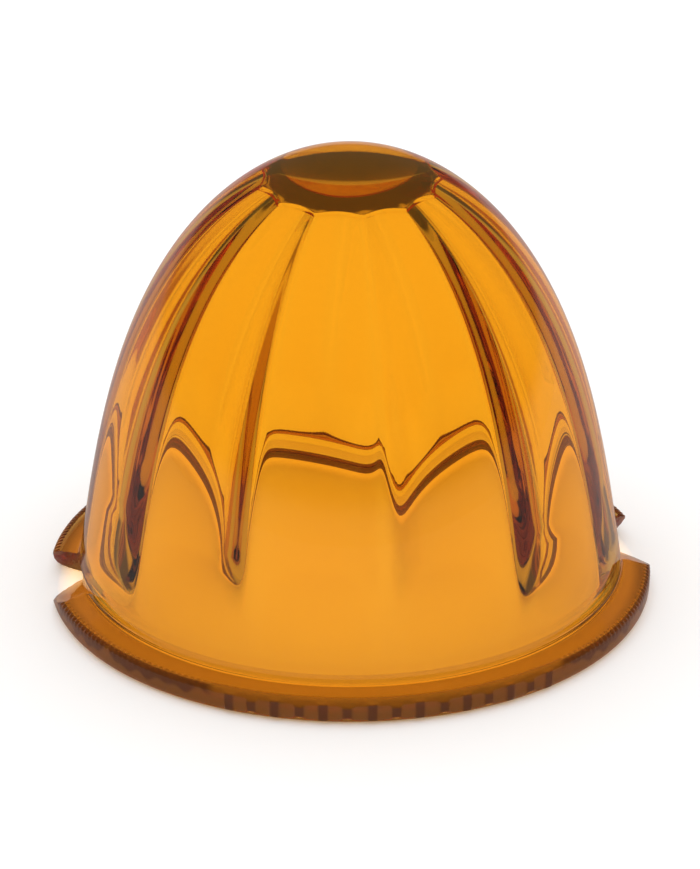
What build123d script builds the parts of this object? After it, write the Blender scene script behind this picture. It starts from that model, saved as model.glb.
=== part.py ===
from build123d import *
import os
from math import cos, radians, sin, sqrt

# Fluted glass lens of a small round marker lamp, pressed in one piece.
# Millimetres. +Z is up, the seat of the flange lies on z = 0, and the lens is centred on the Z axis.
# Bearings are in degrees round the axis, counted from the front (-Y) towards +X.

# Driving dimensions
FLANGE_RADIUS = 38.0
FLANGE_THICKNESS = 3.2
FLANGE_EDGE_RADIUS = 1.1
ROOT_FILLET = 0.8

DOME_BASE_RADIUS = 34.9
DOME_HEIGHT = 56.4
DOME_TAPER = 0.27
DOME_POWER = 3.65
DOME_PROFILE_STEPS = 12

WALL = 3.2
CAVITY_RADIUS = DOME_BASE_RADIUS - WALL
CAVITY_TOP = 50.4
CAVITY_APEX = 52.6

FLUTES = 12
FLUTE_DEPTH = 2.5
FLUTE_START = 4.5
FLUTE_FADE = 9.5
FLUTE_LEVELS = 8

MARKS = 15
MARK_PITCH = 4.2
MARK_WIDTH = 1.0
MARK_LENGTHS = (2.0, 1.3)
MARK_RELIEF = 0.2

# The two notches mirror each other. Each wall of a notch is given by the bearings of its four corners.
NOTCH_FRONT_WALL = {"low_inner": 95.5, "low_outer": 85.0, "high_inner": 79.0, "high_outer": 75.0}
NOTCH_BACK_WALL = {"low_inner": 98.5, "low_outer": 103.5, "high_inner": 96.5, "high_outer": 99.0}
NOTCH_INNER_RADIUS = 34.0
NOTCH_OVERCUT = 1.0


def polar(radius, bearing, height=0.0):
    """The point at a radius and a bearing from the front."""
    turn = radians(bearing)
    return Vector(radius * sin(turn), -radius * cos(turn), height)


def dome_radius(share, base_radius):
    """The radius of a dome at a share of its height: a tapered wall that rounds over to the apex."""
    return base_radius * (1 - DOME_TAPER * share) * sqrt(1 - share**DOME_POWER)


def dome_outline():
    """Half of the outer outline in the XZ plane, from the seat to the apex."""
    points = []
    for step in range(DOME_PROFILE_STEPS + 1):
        turn = radians(90.0) * step / DOME_PROFILE_STEPS
        share = sin(turn) ** (2 / DOME_POWER)
        points.append((DOME_BASE_RADIUS * (1 - DOME_TAPER * share) * cos(turn), 0, DOME_HEIGHT * share))
    start_slope = (-DOME_TAPER * DOME_BASE_RADIUS, 0, DOME_HEIGHT)
    return Spline(*points, tangents=[start_slope, (-1, 0, 0)])


def make_dome():
    """The smooth outer dome as a full solid."""
    axis = Line((0, 0, DOME_HEIGHT), (0, 0, 0))
    base = Line((0, 0, 0), (DOME_BASE_RADIUS, 0, 0))
    return revolve(make_face([dome_outline(), axis, base]), Axis.Z)


def make_flange():
    """The plain flange disc with its rounded rim."""
    disc = Cylinder(FLANGE_RADIUS, FLANGE_THICKNESS, align=(Align.CENTER, Align.CENTER, Align.MIN))
    return fillet(disc.edges().filter_by(GeomType.CIRCLE), FLANGE_EDGE_RADIUS)


def blend_root(body):
    """The small fillet where the dome rises from the flange's upper face."""
    rings = body.edges().filter_by_position(Axis.Z, FLANGE_THICKNESS, FLANGE_THICKNESS)
    root = rings.sort_by(SortBy.LENGTH)[0]
    return fillet(root, ROOT_FILLET)


def make_marks():
    """The row of upright raised bars, alternately long and short, on the front of the rim."""
    bars = []
    for mark in range(MARKS):
        bearing = (mark - (MARKS - 1) / 2) * MARK_PITCH
        length = MARK_LENGTHS[mark % len(MARK_LENGTHS)]
        centre = polar(FLANGE_RADIUS, bearing, FLANGE_THICKNESS / 2)
        bars.append(Location(centre, (0, 0, bearing)) * Box(MARK_WIDTH, 2 * MARK_RELIEF, length))
    return bars


def notch_section(front, back, height):
    """One level of a notch's cutter, from inside the dome's wall to beyond the rim."""
    outer = FLANGE_RADIUS + NOTCH_OVERCUT
    corners = [
        polar(NOTCH_INNER_RADIUS, front[0], height),
        polar(outer, front[1], height),
        polar(outer, back[1], height),
        polar(NOTCH_INNER_RADIUS, back[0], height),
    ]
    return make_face(Polyline(*corners, close=True))


def make_notch_cutter():
    """The right-hand notch's cutter. Both of its walls lean towards the front as they rise."""
    low = notch_section(
        (NOTCH_FRONT_WALL["low_inner"], NOTCH_FRONT_WALL["low_outer"]),
        (NOTCH_BACK_WALL["low_inner"], NOTCH_BACK_WALL["low_outer"]),
        0.0,
    )
    high = notch_section(
        (NOTCH_FRONT_WALL["high_inner"], NOTCH_FRONT_WALL["high_outer"]),
        (NOTCH_BACK_WALL["high_inner"], NOTCH_BACK_WALL["high_outer"]),
        FLANGE_THICKNESS,
    )
    return loft([low, high], ruled=True)


def flute_section(height):
    """A closed outline of arcs that bulge inwards, one for each flute, and meet in the valleys between."""
    radius = dome_radius(height / CAVITY_APEX, CAVITY_RADIUS)
    fade = min(1.0, (height - FLUTE_START) / FLUTE_FADE)
    crest = radius - FLUTE_DEPTH * fade * radius / CAVITY_RADIUS
    pitch = 360.0 / FLUTES
    arcs = []
    for flute in range(FLUTES):
        start = flute * pitch
        arcs.append(
            ThreePointArc(
                polar(radius, start, height),
                polar(crest, start + pitch / 2, height),
                polar(radius, start + pitch, height),
            )
        )
    return make_face(arcs)


def make_cavity():
    """The space inside: a plain round mouth, then the flutes up to the flat crown."""
    rise = (CAVITY_TOP - FLUTE_START) / (FLUTE_LEVELS - 1)
    fluted = loft([flute_section(FLUTE_START + level * rise) for level in range(FLUTE_LEVELS)])
    mouth_radius = dome_radius(FLUTE_START / CAVITY_APEX, CAVITY_RADIUS)
    mouth = Cone(CAVITY_RADIUS, mouth_radius, FLUTE_START, align=(Align.CENTER, Align.CENTER, Align.MIN))
    return fluted + mouth


def make_glass_lens():
    """The whole pressing: dome and flange with their marks, less the notches and the space inside."""
    body = blend_root(make_dome() + make_flange())
    for bar in make_marks():
        body += bar
    notch = make_notch_cutter()
    for cutter in (notch, mirror(notch, about=Plane.YZ)):
        body -= cutter
    return body - make_cavity()


os.makedirs("parts", exist_ok=True)
export_step(make_glass_lens(), "parts/glass_lens.step")
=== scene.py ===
import math

import bmesh
import bpy
import numpy as np
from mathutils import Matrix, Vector


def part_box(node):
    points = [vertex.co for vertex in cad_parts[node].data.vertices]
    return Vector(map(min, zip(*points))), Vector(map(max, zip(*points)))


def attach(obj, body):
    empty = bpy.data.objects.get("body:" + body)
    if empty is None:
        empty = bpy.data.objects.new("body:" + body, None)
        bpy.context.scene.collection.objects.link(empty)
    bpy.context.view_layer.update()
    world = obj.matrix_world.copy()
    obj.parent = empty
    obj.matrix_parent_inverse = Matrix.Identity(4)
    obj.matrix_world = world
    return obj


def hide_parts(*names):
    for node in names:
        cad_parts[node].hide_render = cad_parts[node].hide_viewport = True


# The looks of the amber marker lamp lens. Bearings are in degrees round the lens's axis,
# counted from the front (-Y) towards +X, as in the CAD.

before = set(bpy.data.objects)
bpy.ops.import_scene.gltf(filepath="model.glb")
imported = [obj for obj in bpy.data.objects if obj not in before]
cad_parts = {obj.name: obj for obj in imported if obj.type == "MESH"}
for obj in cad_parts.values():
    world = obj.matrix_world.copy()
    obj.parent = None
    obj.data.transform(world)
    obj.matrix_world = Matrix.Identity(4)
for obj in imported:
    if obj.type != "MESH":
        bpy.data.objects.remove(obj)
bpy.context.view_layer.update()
lens_high = Vector(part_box("glass_lens")[1])

# The frame gives the scale: the flange's rear edge lies on its radius.
FLANGE_RADIUS_IN_MM = 38.0
MM = lens_high.y / FLANGE_RADIUS_IN_MM
FLANGE_RADIUS = lens_high.y
DOME_HEIGHT = lens_high.z

FLANGE_THICKNESS = 3.2 * MM
FLANGE_EDGE_RADIUS = 1.1 * MM
ROOT_FILLET = 0.8 * MM
SEAT_EDGE_RADIUS = 0.4 * MM

DOME_BASE_RADIUS = 34.9 * MM
DOME_TAPER = 0.27
DOME_POWER = 3.65

WALL = 3.2 * MM
CAVITY_RADIUS = DOME_BASE_RADIUS - WALL
CAVITY_TOP = 50.4 * MM
CAVITY_APEX = 52.6 * MM
CROWN_EDGE_RADIUS = 0.5 * MM

MOUTH_RIPPLE = 0.02 * MM
MOUTH_RIPPLE_PITCH = 0.75 * MM

FLUTES = 12
FLUTE_DEPTH = 2.5 * MM
FLUTE_START = 4.5 * MM
FLUTE_FADE = 9.5 * MM
FLUTE_VALLEY_ROUNDING = 0.35
COLUMN_CROWDING = 0.11

MARKS = 15
MARK_PITCH = 4.2
MARK_WIDTH = 1.0 * MM
MARK_LENGTHS = (2.0 * MM, 1.3 * MM)
MARK_RELIEF = 0.2 * MM
MARK_SLOPE = 0.15 * MM

TEETH = 264
TOOTH_RELIEF = 0.12 * MM
TEETH_FIRST_BEARING = 32.0
TEETH_RUN_IN = 2.0

NOTCH_FRONT_WALL = {"low_inner": 95.5, "low_outer": 85.0, "high_inner": 79.0, "high_outer": 75.0}
NOTCH_BACK_WALL = {"low_inner": 98.5, "low_outer": 103.5, "high_inner": 96.5, "high_outer": 99.0}
NOTCH_INNER_RADIUS = 34.0 * MM
NOTCH_OVERCUT = 1.0 * MM
NOTCH_WALL_CELLS = 14
NOTCH_ROUGHNESS = 0.12 * MM

COLUMNS = 480
RIM_COLUMNS = 4 * TEETH
DOME_RINGS = 48
CAVITY_RINGS = 60
MOUTH_RINGS = 24
RIM_RINGS = 6
CORNER_STEPS = 4
RIM_CORNER_STEPS = 8
CROWN_RING_SHARES = (0.85, 0.7, 0.55, 0.4, 0.25, 0.1)
SMOOTH_ANGLE = math.radians(28.0)


# ---------------------------------------------------------------- the lens's mesh


def smooth_step(value):
    """0 below 0, 1 above 1, and an even rise between."""
    share = np.clip(value, 0.0, 1.0)
    return share * share * (3.0 - 2.0 * share)


def even_bearings(count):
    return np.linspace(0.0, 2.0 * math.pi, count, endpoint=False)


def crowded_bearings(count):
    """Bearings that crowd together at the valleys between the flutes."""
    even = even_bearings(count)
    return even - COLUMN_CROWDING / FLUTES * 2.0 * math.pi * np.sin(FLUTES * even)


def dome_radius(share, base_radius):
    """The same tapered dome formula as the CAD."""
    return base_radius * (1.0 - DOME_TAPER * share) * math.sqrt(max(0.0, 1.0 - share**DOME_POWER))


def ring(bearings, radius, height):
    """One ring of points. Radius and height are single values or one value for each bearing."""
    radius = np.broadcast_to(radius, bearings.shape)
    height = np.broadcast_to(height, bearings.shape)
    return np.stack([radius * np.sin(bearings), -radius * np.cos(bearings), height], axis=-1)


def dome_rings(bearings):
    """The smooth outside, from just off the apex down to the root fillet."""
    root_height = FLANGE_THICKNESS + ROOT_FILLET
    root_turn = math.asin((root_height / DOME_HEIGHT) ** (DOME_POWER / 2.0))
    rings = []
    for turn in np.linspace(math.pi / 2.0, root_turn, DOME_RINGS + 1)[1:]:
        share = math.sin(turn) ** (2.0 / DOME_POWER)
        rings.append(ring(bearings, dome_radius(share, DOME_BASE_RADIUS), DOME_HEIGHT * share))
    root_radius = dome_radius(root_height / DOME_HEIGHT, DOME_BASE_RADIUS)
    for step in range(1, CORNER_STEPS + 1):
        turn = math.pi / 2.0 * step / CORNER_STEPS
        radius = root_radius + ROOT_FILLET * (1.0 - math.cos(turn))
        rings.append(ring(bearings, radius, root_height - ROOT_FILLET * math.sin(turn)))
    return rings


def tooth_relief(bearings):
    """How far the fine teeth stand out of the flange's upper edge, which is plain at the marks."""
    from_front = np.degrees(np.abs((bearings + math.pi) % (2.0 * math.pi) - math.pi))
    present = smooth_step((from_front - TEETH_FIRST_BEARING) / TEETH_RUN_IN)
    return TOOTH_RELIEF * present * (0.5 - 0.5 * np.cos(TEETH * bearings))


def mark_relief(bearings, height):
    """How far the raised bars stand out of the rim at a height."""
    relief = np.zeros_like(bearings)
    for mark in range(MARKS):
        centre = math.radians((mark - (MARKS - 1) / 2.0) * MARK_PITCH)
        aside = np.abs((bearings - centre + math.pi) % (2.0 * math.pi) - math.pi) * FLANGE_RADIUS
        beyond = abs(height - FLANGE_THICKNESS / 2.0) - MARK_LENGTHS[mark % len(MARK_LENGTHS)] / 2.0
        inside = np.minimum(MARK_WIDTH / 2.0 - aside, -beyond)
        relief = np.maximum(relief, MARK_RELIEF * smooth_step(inside / MARK_SLOPE + 1.0))
    return relief


def rim_rings(bearings):
    """The rim, from the flange's upper face round the toothed edge and the marks to the lower edge."""
    inner = FLANGE_RADIUS - FLANGE_EDGE_RADIUS
    upper = FLANGE_THICKNESS - FLANGE_EDGE_RADIUS
    teeth = tooth_relief(bearings)
    rings = [ring(bearings, inner - FLANGE_EDGE_RADIUS / 2.0, FLANGE_THICKNESS)]
    for step in range(RIM_CORNER_STEPS + 1):
        turn = math.pi / 2.0 * step / RIM_CORNER_STEPS
        marks = mark_relief(bearings, upper + FLANGE_EDGE_RADIUS * math.cos(turn))
        reach = FLANGE_EDGE_RADIUS + teeth * math.sin(2.0 * turn) + marks
        rings.append(ring(bearings, inner + reach * math.sin(turn), upper + reach * math.cos(turn)))
    for height in np.linspace(upper, FLANGE_EDGE_RADIUS, RIM_RINGS + 1)[1:]:
        rings.append(ring(bearings, FLANGE_RADIUS + mark_relief(bearings, height), height))
    for step in range(1, RIM_CORNER_STEPS + 1):
        turn = math.pi / 2.0 * step / RIM_CORNER_STEPS
        marks = mark_relief(bearings, FLANGE_EDGE_RADIUS * (1.0 - math.sin(turn)))
        reach = FLANGE_EDGE_RADIUS + marks
        height = FLANGE_EDGE_RADIUS - reach * math.sin(turn)
        rings.append(ring(bearings, inner + reach * math.cos(turn), height))
    return rings


def flute_bulge(bearings):
    """How far a flute bulges inwards, as a share of its depth: circular arcs that meet in rounded valleys."""
    half_pitch = math.pi / FLUTES
    aside = bearings % (2.0 * half_pitch) - half_pitch
    crest = CAVITY_RADIUS - FLUTE_DEPTH
    sagitta = CAVITY_RADIUS * math.cos(half_pitch) - crest
    arc_radius = ((CAVITY_RADIUS * math.sin(half_pitch)) ** 2 + sagitta**2) / (2.0 * sagitta)
    centre = crest + arc_radius
    radius = centre * np.cos(aside) - np.sqrt(arc_radius**2 - (centre * np.sin(aside)) ** 2)
    sharp = (CAVITY_RADIUS - radius) / FLUTE_DEPTH
    rounded = np.sqrt(sharp**2 + FLUTE_VALLEY_ROUNDING**2) - FLUTE_VALLEY_ROUNDING
    return rounded / (math.hypot(1.0, FLUTE_VALLEY_ROUNDING) - FLUTE_VALLEY_ROUNDING)


def cavity_ring(bearings, height):
    """One level of the space inside, with the flutes shrinking towards the crown and fading at the mouth."""
    plain = dome_radius(height / CAVITY_APEX, CAVITY_RADIUS)
    fade = min(1.0, max(0.0, (height - FLUTE_START) / FLUTE_FADE))
    depth = FLUTE_DEPTH * fade * plain / CAVITY_RADIUS
    ripple = MOUTH_RIPPLE * math.sin(2.0 * math.pi * height / MOUTH_RIPPLE_PITCH)
    ripple *= 1.0 - smooth_step((height - FLANGE_THICKNESS) / MOUTH_RIPPLE_PITCH)
    return ring(bearings, plain - depth * flute_bulge(bearings) + ripple, height)


def cavity_rings(bearings):
    """The space inside, from the seat's inner edge up to the crown."""
    rings = []
    for step in range(CORNER_STEPS + 1):
        turn = math.pi / 2.0 * step / CORNER_STEPS
        radius = CAVITY_RADIUS + SEAT_EDGE_RADIUS * (1.0 - math.sin(turn))
        rings.append(ring(bearings, radius, SEAT_EDGE_RADIUS * (1.0 - math.cos(turn))))
    for height in np.linspace(1.5 * SEAT_EDGE_RADIUS, FLUTE_START, MOUTH_RINGS, endpoint=False):
        rings.append(cavity_ring(bearings, height))
    top = CAVITY_TOP - CROWN_EDGE_RADIUS
    full_turn = math.asin((top / CAVITY_APEX) ** (DOME_POWER / 2.0))
    first_turn = math.asin((FLUTE_START / CAVITY_APEX) ** (DOME_POWER / 2.0))
    even_heights = np.linspace(FLUTE_START, top, CAVITY_RINGS)
    turned = np.sin(np.linspace(first_turn, full_turn, CAVITY_RINGS)) ** (2.0 / DOME_POWER) * CAVITY_APEX
    for height in (even_heights + turned) / 2.0:
        rings.append(cavity_ring(bearings, height))
    last = rings[-1]
    for step in range(1, CORNER_STEPS + 1):
        turn = math.pi / 2.0 * step / CORNER_STEPS
        shrink = 1.0 - CROWN_EDGE_RADIUS * (1.0 - math.cos(turn)) / np.hypot(last[:, 0], last[:, 1])
        rings.append(last * np.stack([shrink, shrink, np.ones_like(shrink)], axis=-1))
        rings[-1][:, 2] = top + CROWN_EDGE_RADIUS * math.sin(turn)
    rings += [rings[-1] * np.array([share, share, 1.0]) for share in CROWN_RING_SHARES]
    return rings


def bridge(faces, upper, lower):
    """Faces between two rings, given as index ranges that may differ in length."""
    count = max(len(upper), len(lower))
    for column in range(count):
        after = column + 1
        a = upper[column * len(upper) // count]
        b = upper[after * len(upper) // count % len(upper)]
        c = lower[after * len(lower) // count % len(lower)]
        d = lower[column * len(lower) // count]
        corners = [a, d, c, b]
        faces.append([corner for place, corner in enumerate(corners) if corner not in corners[:place]])


def make_lens_mesh():
    """The whole lens without its notches, as rings from the apex round to the crown's inside."""
    body = crowded_bearings(COLUMNS)
    rim = even_bearings(RIM_COLUMNS)
    rings = dome_rings(body) + rim_rings(rim) + cavity_rings(body)
    points = [Vector((0.0, 0.0, DOME_HEIGHT)), Vector((0.0, 0.0, CAVITY_TOP))]
    ranges = []
    for one in rings:
        ranges.append(range(len(points), len(points) + len(one)))
        points.extend(one.tolist())
    faces = []
    for upper, lower in zip(ranges[:-1], ranges[1:]):
        bridge(faces, upper, lower)
    for centre, edge in ((0, ranges[0]), (1, ranges[-1])):
        for place, corner in enumerate(edge):
            faces.append([centre, corner, edge[(place + 1) % len(edge)]])
    return mesh_from("amber_lens", points, faces)


def mesh_from(name, points, faces):
    """A closed mesh with its faces turned outwards."""
    mesh = bpy.data.meshes.new(name)
    mesh.from_pydata([tuple(point) for point in points], [], faces)
    shape = bmesh.new()
    shape.from_mesh(mesh)
    bmesh.ops.recalc_face_normals(shape, faces=shape.faces)
    shape.to_mesh(mesh)
    shape.free()
    return mesh


# ---------------------------------------------------------------- the two notches


def polar(radius, bearing, height):
    """The point at a radius and a bearing in degrees."""
    turn = math.radians(bearing)
    return Vector((radius * math.sin(turn), -radius * math.cos(turn), height))


def notch_wall(wall, side, rng):
    """One wall of a notch as a grid of points with the roughness of a fractured face."""
    reach = FLANGE_RADIUS + NOTCH_OVERCUT - NOTCH_INNER_RADIUS
    grid = []
    for row in range(NOTCH_WALL_CELLS + 1):
        up = row / NOTCH_WALL_CELLS
        height = (FLANGE_THICKNESS + 2.0 * NOTCH_OVERCUT) * up - NOTCH_OVERCUT
        rise = height / FLANGE_THICKNESS
        for column in range(NOTCH_WALL_CELLS + 1):
            out = column / NOTCH_WALL_CELLS
            low = wall["low_inner"] + (wall["low_outer"] - wall["low_inner"]) * out
            high = wall["high_inner"] + (wall["high_outer"] - wall["high_inner"]) * out
            point = polar(NOTCH_INNER_RADIUS + reach * out, low + (high - low) * rise, height)
            point.y += NOTCH_ROUGHNESS * rng.uniform(-1.0, 1.0)
            point.x *= side
            grid.append(point)
    return grid


def make_notch_cutter(name, side, seed):
    """A closed block between a notch's two walls. Side is 1 for +X and -1 for -X."""
    rng = np.random.default_rng(seed)
    across = NOTCH_WALL_CELLS + 1
    points = notch_wall(NOTCH_FRONT_WALL, side, rng) + notch_wall(NOTCH_BACK_WALL, side, rng)
    back = across * across
    faces = []
    for row in range(NOTCH_WALL_CELLS):
        for column in range(NOTCH_WALL_CELLS):
            corner = row * across + column
            cell = [corner, corner + 1, corner + across + 1, corner + across]
            faces.append(cell)
            faces.append([index + back for index in reversed(cell)])
    bottom = list(range(across))
    top = [NOTCH_WALL_CELLS * across + column for column in bottom]
    inner = [row * across for row in bottom]
    outer = [row * across + NOTCH_WALL_CELLS for row in bottom]
    for edge in (bottom, top, inner, outer):
        for start, end in zip(edge[:-1], edge[1:]):
            faces.append([start, end, end + back, start + back])
    cutter = bpy.data.objects.new(name, mesh_from(name, points, faces))
    bpy.context.scene.collection.objects.link(cutter)
    return cutter


def cut_notches(lens):
    """Cuts both notches out of the flange and keeps the result as the lens's mesh."""
    cutters = [
        make_notch_cutter("right_notch", side=1.0, seed=3),
        make_notch_cutter("left_notch", side=-1.0, seed=4),
    ]
    for cutter in cutters:
        cut = lens.modifiers.new(cutter.name, "BOOLEAN")
        cut.object = cutter
        cut.operation = "DIFFERENCE"
        cut.solver = "EXACT"
    evaluated = lens.evaluated_get(bpy.context.evaluated_depsgraph_get())
    finished = bpy.data.meshes.new_from_object(evaluated)
    lens.modifiers.clear()
    lens.data = finished
    for cutter in cutters:
        bpy.data.objects.remove(cutter)


def make_lens(material):
    """The finished lens as one object."""
    lens = bpy.data.objects.new("amber_lens", make_lens_mesh())
    bpy.context.scene.collection.objects.link(lens)
    cut_notches(lens)
    mark_surfaces(lens.data)
    lens.data.materials.clear()
    lens.data.materials.append(material)
    lens.data.shade_smooth()
    lens.data.set_sharp_from_angle(angle=SMOOTH_ANGLE)
    return lens


# ---------------------------------------------------------------- the glass


GLASS_IOR = 1.52
GLASS_TINT = (0.99, 0.67, 0.14, 1.0)
# Painted shade: the flange gets a darker copy of the glass's tint.
FLANGE_PAINTED_SHADE_TINT = (0.74, 0.45, 0.16, 1.0)
# Painted light: the rim gets a lighter copy of the glass's tint.
RIM_PAINTED_LIGHT_TINT = (1.0, 0.75, 0.3, 1.0)
# Painted shade: a dark tint on the raised bars and on uneven patches of the rim's upper half.
PAINTED_SHADE_TINT = (0.22, 0.12, 0.1, 1.0)
TINTS = (GLASS_TINT, FLANGE_PAINTED_SHADE_TINT, RIM_PAINTED_LIGHT_TINT, PAINTED_SHADE_TINT)
GLASS_DEPTH_COLOUR = (0.99, 0.82, 0.0, 1.0)
GLASS_DENSITY = 100.0
GLASS_ROUGHNESS = 0.02
FLANGE_ROUGHNESS = 0.06
SEAT_ROUGHNESS = 0.54
SEAT_FLATNESS = 0.01 * MM
# Painted shadows on the rim's upper half: the waves, height, swing and softness of their lower edge.
SHADOW_WAVES = (19, 31, 47, 83)
SHADOW_HEIGHT = 1.5 * MM
SHADOW_SWING = 1.0 * MM
SHADOW_SOFTNESS = 0.5 * MM
RIPPLE_SCALE = 90.0
RIPPLE_DETAIL = 1.0
RIPPLE_STRENGTH = 0.04
RIPPLE_DISTANCE = 0.1 * MM


def painted_rim_shadows(bearings, heights):
    """Painted shadows of uneven depth on the rim's upper half, between the row of marks and the notches."""
    from_front = np.degrees(np.abs(bearings))
    beside = smooth_step((from_front - TEETH_FIRST_BEARING) / TEETH_RUN_IN)
    beside *= from_front < NOTCH_BACK_WALL["high_inner"]
    waves = sum(np.cos(count * bearings + count) for count in SHADOW_WAVES) / len(SHADOW_WAVES)
    lowest = SHADOW_HEIGHT + SHADOW_SWING * waves
    return beside * smooth_step((heights - lowest) / SHADOW_SOFTNESS)


def set_values(mesh, name, values):
    """Gives the mesh a named value at every point, for the material to read."""
    mesh.attributes.new(name, "FLOAT", "POINT").data.foreach_set("value", values)


def mark_surfaces(mesh):
    """Marks the dome's glass tint, the flange's painted shade, the rim's painted light and painted shade on
    the raised bars and patches of the rim, and gives each surface its roughness.
    """
    points = np.array([vertex.co for vertex in mesh.vertices])
    radii = np.hypot(points[:, 0], points[:, 1])
    bearings = np.arctan2(points[:, 0], -points[:, 1])
    heights = points[:, 2]
    on_flange = (radii > DOME_BASE_RADIUS) | (heights < FLANGE_THICKNESS)
    on_rim = radii > FLANGE_RADIUS - FLANGE_EDGE_RADIUS / 2.0
    # Painted shade: the raised bars and the patches on the rim's upper half get the dark tint.
    dark = np.maximum(mark_relief(bearings, heights) / MARK_RELIEF, painted_rim_shadows(bearings, heights))
    set_values(mesh, "tint", (on_flange + on_rim * (1.0 + dark)) / (len(TINTS) - 1))
    plain = np.where(on_flange, FLANGE_ROUGHNESS, GLASS_ROUGHNESS)
    set_values(mesh, "roughness", np.where(heights < SEAT_FLATNESS, SEAT_ROUGHNESS, plain))


def attribute(nodes, name):
    """The values that the mesh's points hold under a name."""
    values = nodes.new("ShaderNodeAttribute")
    values.attribute_name = name
    return values.outputs["Fac"]


def mapped(nodes, links, value, span, low, high):
    """A value that goes from low to high as another crosses a span."""
    share = nodes.new("ShaderNodeMapRange")
    share.inputs["From Min"].default_value = span[0]
    share.inputs["From Max"].default_value = span[1]
    share.inputs["To Min"].default_value = low
    share.inputs["To Max"].default_value = high
    links.new(value, share.inputs["Value"])
    return share


def blended(nodes, links, share, colours):
    """A colour that goes through a row of colours as a share goes from 0 to 1."""
    ramp = nodes.new("ShaderNodeValToRGB")
    stops = ramp.color_ramp.elements
    for place in range(1, len(colours) - 1):
        stops.new(place / (len(colours) - 1))
    for stop, colour in zip(stops, colours):
        stop.color = colour
    links.new(share, ramp.inputs["Fac"])
    return ramp


def make_glass():
    """Amber pressed glass: clear, with a faint ripple, and coloured by the depth that light crosses. Its tint
    also holds painted shade on the flange, the bars and the rim's patches, and painted light on the rim.
    """
    material = bpy.data.materials.new("amber_glass")
    material.use_nodes = True
    nodes = material.node_tree.nodes
    links = material.node_tree.links
    surface = nodes["Principled BSDF"]
    surface.inputs["Transmission Weight"].default_value = 1.0
    surface.inputs["IOR"].default_value = GLASS_IOR
    # The tint holds the glass's colour, painted shade on the flange, bars and rim patches, and painted light
    # on the rim.
    tint = blended(nodes, links, attribute(nodes, "tint"), TINTS)
    links.new(tint.outputs["Color"], surface.inputs["Base Color"])
    links.new(attribute(nodes, "roughness"), surface.inputs["Roughness"])

    place = nodes.new("ShaderNodeTexCoord")
    ripple = nodes.new("ShaderNodeTexNoise")
    ripple.inputs["Scale"].default_value = RIPPLE_SCALE
    ripple.inputs["Detail"].default_value = RIPPLE_DETAIL
    bump = nodes.new("ShaderNodeBump")
    bump.inputs["Strength"].default_value = RIPPLE_STRENGTH
    bump.inputs["Distance"].default_value = RIPPLE_DISTANCE
    links.new(place.outputs["Object"], ripple.inputs["Vector"])
    links.new(ripple.outputs["Fac"], bump.inputs["Height"])
    links.new(bump.outputs["Normal"], surface.inputs["Normal"])

    depth = nodes.new("ShaderNodeVolumeAbsorption")
    depth.inputs["Color"].default_value = GLASS_DEPTH_COLOUR
    depth.inputs["Density"].default_value = GLASS_DENSITY
    links.new(depth.outputs["Volume"], nodes["Material Output"].inputs["Volume"])
    return material


# ---------------------------------------------------------------- floor, light and camera


FLOOR_SIZE = 60.0 * FLANGE_RADIUS
FLOOR_DROP = 0.05 * MM
FLOOR_COLOUR = (0.93, 0.93, 0.93, 1.0)
# Painted light: an amber glow on the floor under the lens, faint under the dome and stronger under the
# flange.
PAINTED_LIGHT_COLOUR = (1.0, 0.55, 0.12, 1.0)
DOME_PAINTED_LIGHT = 0.2
FLANGE_PAINTED_LIGHT = 0.55
FLANGE_PAINTED_LIGHT_RISE = (0.78 * FLANGE_RADIUS, 0.83 * FLANGE_RADIUS)
FLANGE_PAINTED_LIGHT_FADE = (0.93 * FLANGE_RADIUS, 0.98 * FLANGE_RADIUS)
FILL_STRENGTH = 1.25
SKY_STRENGTH = 0.22
HORIZON_STRENGTH = 1.0
HORIZON_FADE = (0.02, 0.12)
ROOM_COLOUR = (0.46, 0.38, 0.35, 1.0)
WHITE = (1.0, 1.0, 1.0, 1.0)

CAMERA_BEARING = -8.0
CAMERA_ELEVATION = 23.74
CAMERA_DISTANCE = 8.0 * FLANGE_RADIUS
CAMERA_AIM = 0.344 * DOME_HEIGHT
CAMERA_SENSOR = 24.0
CAMERA_LENS = 67.36

GLASS_BOUNCES = 24
REFLECTION_BOUNCES = 12


def make_floor():
    """A pale matt floor. It looks dim in reflections, and holds a painted pool of amber light: faint under
    the dome, stronger under the flange.
    """
    bpy.ops.mesh.primitive_plane_add(size=FLOOR_SIZE, location=(0.0, 0.0, -FLOOR_DROP))
    floor = bpy.context.object
    floor.name = "floor"
    material = bpy.data.materials.new("matt_floor")
    material.use_nodes = True
    nodes = material.node_tree.nodes
    links = material.node_tree.links
    surface = nodes["Principled BSDF"]
    surface.inputs["Roughness"].default_value = 1.0
    surface.inputs["Specular IOR Level"].default_value = 0.0
    surface.inputs["Emission Color"].default_value = PAINTED_LIGHT_COLOUR
    path = nodes.new("ShaderNodeLightPath")
    shade = blended(nodes, links, path.outputs["Glossy Depth"], (FLOOR_COLOUR, ROOM_COLOUR))
    links.new(shade.outputs["Color"], surface.inputs["Base Color"])
    place = nodes.new("ShaderNodeTexCoord")
    distance = nodes.new("ShaderNodeVectorMath")
    distance.operation = "LENGTH"
    links.new(place.outputs["Object"], distance.inputs[0])
    # Painted light: the floor's amber glow, faint under the dome, stronger under the flange, fading out at
    # the rim.
    inside = mapped(nodes, links, distance.outputs["Value"], FLANGE_PAINTED_LIGHT_RISE, DOME_PAINTED_LIGHT, FLANGE_PAINTED_LIGHT)
    glow = mapped(nodes, links, distance.outputs["Value"], FLANGE_PAINTED_LIGHT_FADE, FLANGE_PAINTED_LIGHT, 0.0)
    links.new(inside.outputs["Result"], glow.inputs["To Min"])
    links.new(glow.outputs["Result"], surface.inputs["Emission Strength"])
    floor.data.materials.append(material)


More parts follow.
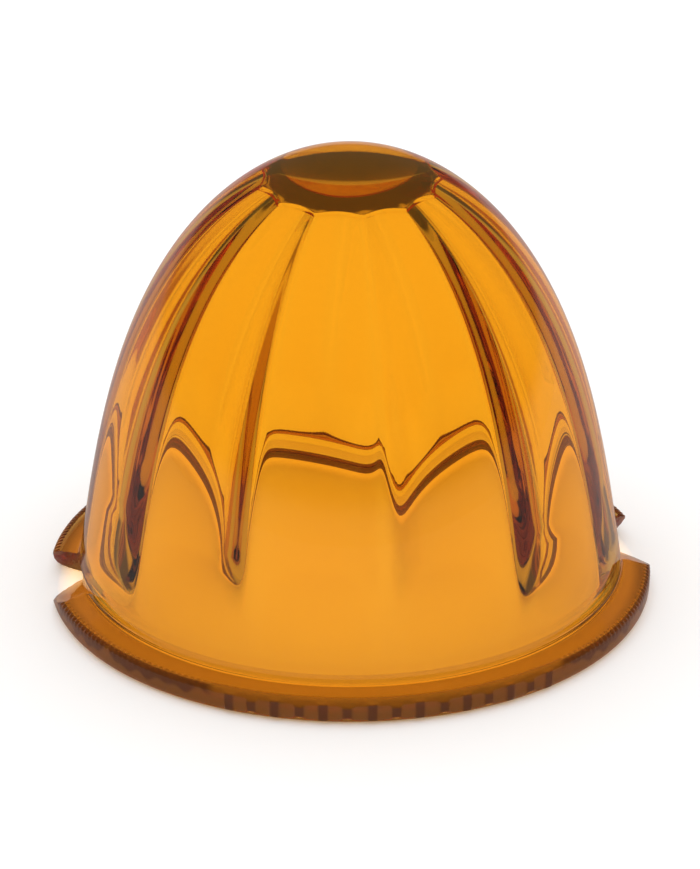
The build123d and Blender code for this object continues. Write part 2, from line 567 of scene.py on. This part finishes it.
def make_sky():
    """White to the camera. The glass sees a white horizon under a dim sky, or a brown room in reflections.

    An even fill lights the floor.
    """
    world = bpy.data.worlds.new("studio")
    world.use_nodes = True
    nodes = world.node_tree.nodes
    links = world.node_tree.links
    place = nodes.new("ShaderNodeTexCoord")
    axes = nodes.new("ShaderNodeSeparateXYZ")
    links.new(place.outputs["Generated"], axes.inputs["Vector"])
    height = mapped(nodes, links, axes.outputs["Z"], HORIZON_FADE, HORIZON_STRENGTH, SKY_STRENGTH)
    height.interpolation_type = "SMOOTHSTEP"
    path = nodes.new("ShaderNodeLightPath")
    colour = blended(nodes, links, path.outputs["Glossy Depth"], (WHITE, ROOM_COLOUR))
    seen = nodes["Background"]
    links.new(colour.outputs["Color"], seen.inputs["Color"])
    strength = nodes.new("ShaderNodeMath")
    strength.operation = "MAXIMUM"
    links.new(height.outputs["Result"], strength.inputs[0])
    links.new(path.outputs["Is Camera Ray"], strength.inputs[1])
    links.new(strength.outputs["Value"], seen.inputs["Strength"])
    fill = nodes.new("ShaderNodeBackground")
    fill.inputs["Color"].default_value = WHITE
    fill.inputs["Strength"].default_value = FILL_STRENGTH
    either = nodes.new("ShaderNodeMixShader")
    links.new(path.outputs["Diffuse Depth"], either.inputs["Fac"])
    links.new(seen.outputs["Background"], either.inputs[1])
    links.new(fill.outputs["Background"], either.inputs[2])
    links.new(either.outputs["Shader"], nodes["World Output"].inputs["Surface"])
    bpy.context.scene.world = world


def around(bearing, elevation, distance):
    """The point seen from the floor's centre in a direction, at a distance."""
    level = math.cos(math.radians(elevation)) * distance
    return polar(level, bearing, math.sin(math.radians(elevation)) * distance)


def aim(thing, target):
    thing.rotation_euler = (target - thing.location).to_track_quat("-Z", "Y").to_euler()


def make_camera():
    camera = bpy.data.objects.new("camera", bpy.data.cameras.new("camera"))
    target = Vector((0.0, 0.0, CAMERA_AIM))
    camera.location = target + around(CAMERA_BEARING, CAMERA_ELEVATION, CAMERA_DISTANCE)
    aim(camera, target)
    camera.data.sensor_fit = "VERTICAL"
    camera.data.sensor_height = CAMERA_SENSOR
    camera.data.lens = CAMERA_LENS
    bpy.context.scene.collection.objects.link(camera)
    bpy.context.scene.camera = camera


def set_light_paths():
    """Enough bounces for light to cross the glass several times."""
    cycles = bpy.context.scene.cycles
    cycles.max_bounces = GLASS_BOUNCES
    cycles.transmission_bounces = GLASS_BOUNCES
    cycles.glossy_bounces = REFLECTION_BOUNCES
    bpy.context.scene.view_settings.view_transform = "Standard"


# ---------------------------------------------------------------- the scene


lens = make_lens(make_glass())
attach(lens, "root")
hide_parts("glass_lens")

make_floor()
make_sky()
make_camera()
set_light_paths()
